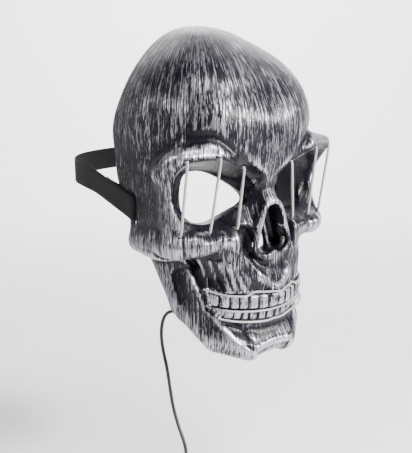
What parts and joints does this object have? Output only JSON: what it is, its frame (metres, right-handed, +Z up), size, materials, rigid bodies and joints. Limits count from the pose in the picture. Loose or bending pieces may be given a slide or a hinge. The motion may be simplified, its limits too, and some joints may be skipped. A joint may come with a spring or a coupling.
{
  "type": "skull mask",
  "caption": "Skull-shaped half-shell face mask for theatre and carnival, with wires across the eye openings and teeth, a head strap and a hanging lead with its spare length coiled.",
  "frame": {"origin": "on the inner wall of the forehead, in the middle of the face, where the mask rests on a head", "axes": "+Z up, the face looks along -Y, the wearer's left is +X"},
  "size_m": [0.177, 0.2283, 0.4244],
  "materials": {
    "brushed_silver_on_black": "black moulded plastic dry-brushed with silver",
    "wire_plastic": "pale translucent wire, unlit",
    "black_webbing": "ribbed woven elastic",
    "black_rubber": "satin lead jacket"
  },
  "bodies": {
    "root": {"mask_shell": "brushed_silver_on_black", "eye_wire_left_inner": "wire_plastic", "eye_wire_left_middle": "wire_plastic", "eye_wire_left_outer": "wire_plastic", "eye_wire_right_inner": "wire_plastic", "eye_wire_right_middle": "wire_plastic", "eye_wire_right_outer": "wire_plastic", "mouth_wire_upper": "wire_plastic", "mouth_wire_middle": "wire_plastic", "mouth_wire_lower": "wire_plastic", "head_strap": "black_webbing", "cord_gland": "black_rubber", "cord": "black_rubber", "cord_coil": "black_rubber", "cord_tie": "black_rubber", "cord_plug": "black_rubber"}
  },
  "joints": []
}
